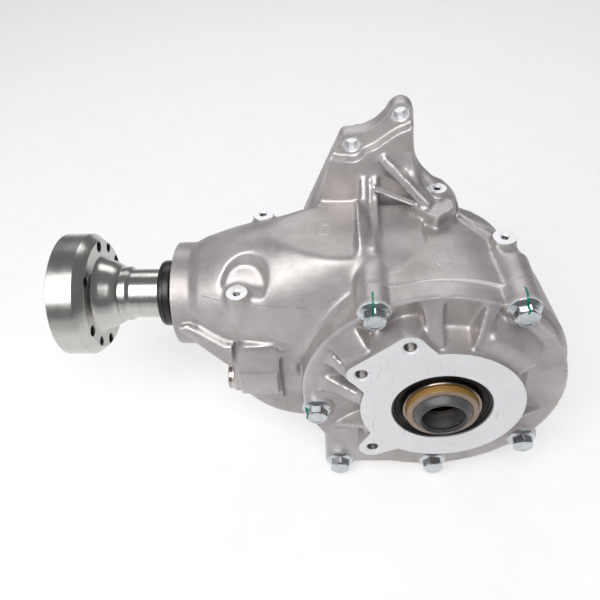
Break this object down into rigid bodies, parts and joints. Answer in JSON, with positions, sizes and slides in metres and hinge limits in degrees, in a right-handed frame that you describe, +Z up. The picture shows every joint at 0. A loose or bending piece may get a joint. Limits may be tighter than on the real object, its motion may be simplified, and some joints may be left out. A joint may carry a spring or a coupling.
{
  "type": "transfer case",
  "caption": "Cast aluminium all-wheel-drive angle gear with a hollow input shaft, hypoid gears in mesh, ribbed housing, bolted side cover and bolted output flange.",
  "frame": {"origin": "centre of the transaxle spigot on the mating face", "axes": "+Y along the input axis into the transaxle, -X along the output axis out of the flange, +Z up"},
  "size_m": [0.395, 0.2025, 0.2829],
  "materials": {
    "cast_case": "die-cast, fine matt grain",
    "cast_cover": "die-cast, machined pad",
    "zinc_steel": "bright zinc plate",
    "ground_steel": "ground",
    "plug_steel": "dark plated",
    "washer_aluminium": "soft annealed",
    "black_rubber": "moulded",
    "brown_rubber": "moulded",
    "grey_rubber": "moulded",
    "bearing_steel": "ground and polished",
    "shaft_steel": "turned and ground",
    "gear_steel": "case hardened",
    "black_steel": "black oxide",
    "flange_steel": "bright turned"
  },
  "bodies": {
    "housing": {"main_case": "cast_case", "side_cover": "cast_cover", "cover_bolts": "zinc_steel", "cover_dowels": "ground_steel", "fill_plug": "plug_steel", "fill_plug_washer": "washer_aluminium", "drain_plug": "plug_steel", "drain_plug_washer": "washer_aluminium", "vent_tube": "zinc_steel", "spigot_o_ring": "black_rubber", "cover_bearing_cup": "bearing_steel", "case_bearing_cup": "bearing_steel", "head_bearing_cup": "bearing_steel", "tail_bearing_cup": "bearing_steel", "cover_bearing_shim": "ground_steel", "cover_seal": "black_rubber", "case_seal": "black_rubber", "pinion_seal": "black_rubber"},
    "input_set": {"input_shaft": "shaft_steel", "ring_gear": "gear_steel", "ring_gear_bolts": "black_steel", "cover_bearing_cone": "bearing_steel", "case_bearing_cone": "bearing_steel", "halfshaft_seal": "brown_rubber", "halfshaft_seal_lip": "grey_rubber"},
    "output_set": {"pinion_gear": "gear_steel", "head_bearing_cone": "bearing_steel", "tail_bearing_cone": "bearing_steel", "crush_sleeve": "ground_steel", "pinion_shim": "ground_steel", "output_flange": "flange_steel", "dust_deflector": "black_rubber", "pinion_nut": "zinc_steel"},
    "cover_bearing_cage": {"cover_bearing_rollers": "bearing_steel"},
    "case_bearing_cage": {"case_bearing_rollers": "bearing_steel"},
    "head_bearing_cage": {"head_bearing_rollers": "bearing_steel"},
    "tail_bearing_cage": {"tail_bearing_rollers": "bearing_steel"}
  },
  "joints": [
    {"name": "input_spin", "type": "hinge", "parent": "housing", "child": "input_set", "pos_m": [0, -0.06, 0], "axis": [0, 1, 0], "continuous": true},
    {"name": "output_spin", "type": "hinge", "parent": "housing", "child": "output_set", "pos_m": [-0.2, -0.0565, 0.0326], "axis": [1, 0, 0], "continuous": true},
    {"name": "cover_cage_spin", "type": "hinge", "parent": "housing", "child": "cover_bearing_cage", "pos_m": [0, -0.126, 0], "axis": [0, 1, 0], "continuous": true},
    {"name": "case_cage_spin", "type": "hinge", "parent": "housing", "child": "case_bearing_cage", "pos_m": [0, -0.017, 0], "axis": [0, 1, 0], "continuous": true},
    {"name": "head_cage_spin", "type": "hinge", "parent": "housing", "child": "head_bearing_cage", "pos_m": [-0.092, -0.0565, 0.0326], "axis": [1, 0, 0], "continuous": true},
    {"name": "tail_cage_spin", "type": "hinge", "parent": "housing", "child": "tail_bearing_cage", "pos_m": [-0.16, -0.0565, 0.0326], "axis": [1, 0, 0], "continuous": true}
  ],
  "couplings": [
    {"joint": "output_spin", "follows": "input_spin", "ratio": -2.5833},
    {"joint": "cover_cage_spin", "follows": "input_spin", "ratio": 0.4584},
    {"joint": "case_cage_spin", "follows": "input_spin", "ratio": 0.4555},
    {"joint": "head_cage_spin", "follows": "input_spin", "ratio": -1.1329},
    {"joint": "tail_cage_spin", "follows": "input_spin", "ratio": -1.127}
  ]
}
